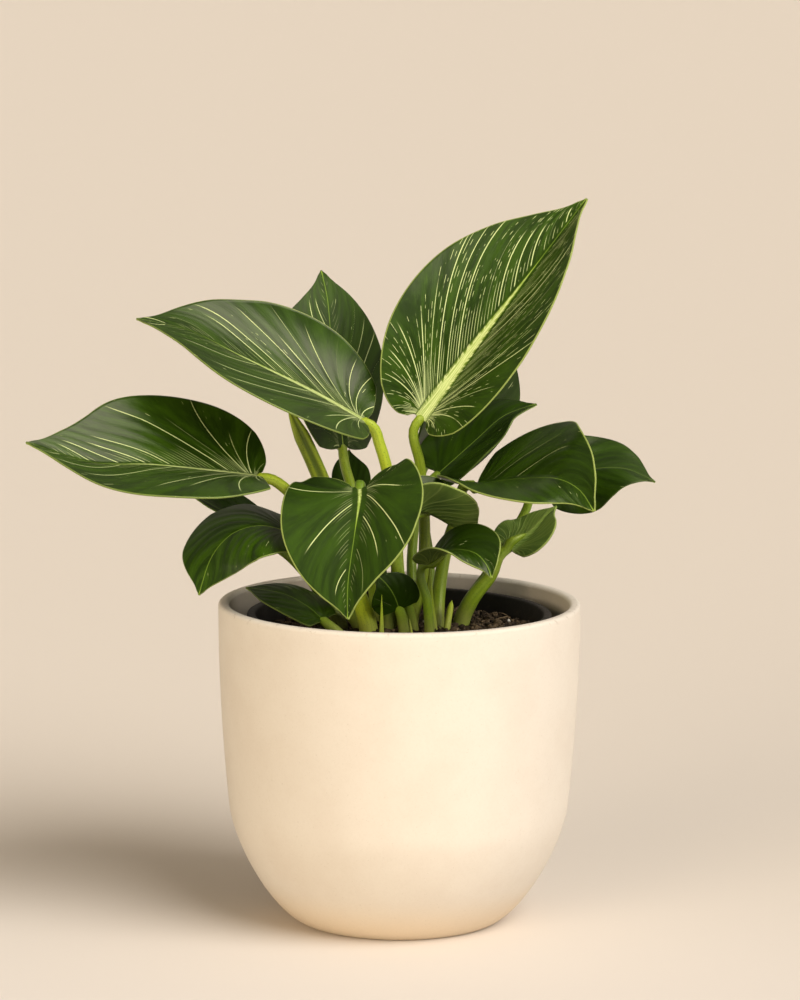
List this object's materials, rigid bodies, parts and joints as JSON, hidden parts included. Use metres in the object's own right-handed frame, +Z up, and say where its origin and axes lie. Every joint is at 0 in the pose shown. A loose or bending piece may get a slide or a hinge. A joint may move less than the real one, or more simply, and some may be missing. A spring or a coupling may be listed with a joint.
{
  "type": "potted birkin philodendron",
  "caption": "Young foliage plant with heart-shaped striped leaves on long stalks, in a plastic grower's pot inside a round cream stoneware planter.",
  "frame": {"origin": "centre of the planter's flat underside", "axes": "+Z up out of the planter; the plant is seen from -Y, with +X to the right"},
  "size_m": [0.248, 0.1501, 0.2872],
  "materials": {
    "stoneware": "matte, cream with faint mottling",
    "black_plastic": "satin black",
    "soil": "crumbly dark potting mix",
    "leaf": "glossy dark green with cream pinstripes",
    "stalk": "satin green"
  },
  "bodies": {
    "root": {"planter": "stoneware", "grower_pot": "black_plastic", "soil": "soil", "blade_top_right": "leaf", "blade_upper_left": "leaf", "blade_left": "leaf", "blade_back": "leaf", "blade_front": "leaf", "blade_low_left": "leaf", "blade_low_left_back": "leaf", "blade_rim_left": "leaf", "blade_right": "leaf", "blade_far_right": "leaf", "blade_back_right": "leaf", "blade_far_back": "leaf", "blade_rolled": "leaf", "blade_low_middle": "leaf", "blade_low_right": "leaf", "blade_inner": "leaf", "blade_small_back": "leaf", "stalk_top_right": "stalk", "stalk_upper_left": "stalk", "stalk_left": "stalk", "stalk_back": "stalk", "stalk_front": "stalk", "stalk_low_left": "stalk", "stalk_low_left_back": "stalk", "stalk_rim_left": "stalk", "stalk_right": "stalk", "stalk_far_right": "stalk", "stalk_back_right": "stalk", "stalk_far_back": "stalk", "stalk_rolled": "stalk", "stalk_low_middle": "stalk", "stalk_low_right": "stalk", "stalk_inner": "stalk", "stalk_small_back": "stalk", "sheath_tall": "stalk", "sheath_middle": "stalk", "spike_left": "stalk", "spike_middle": "stalk", "old_stub": "stalk"}
  },
  "joints": []
}
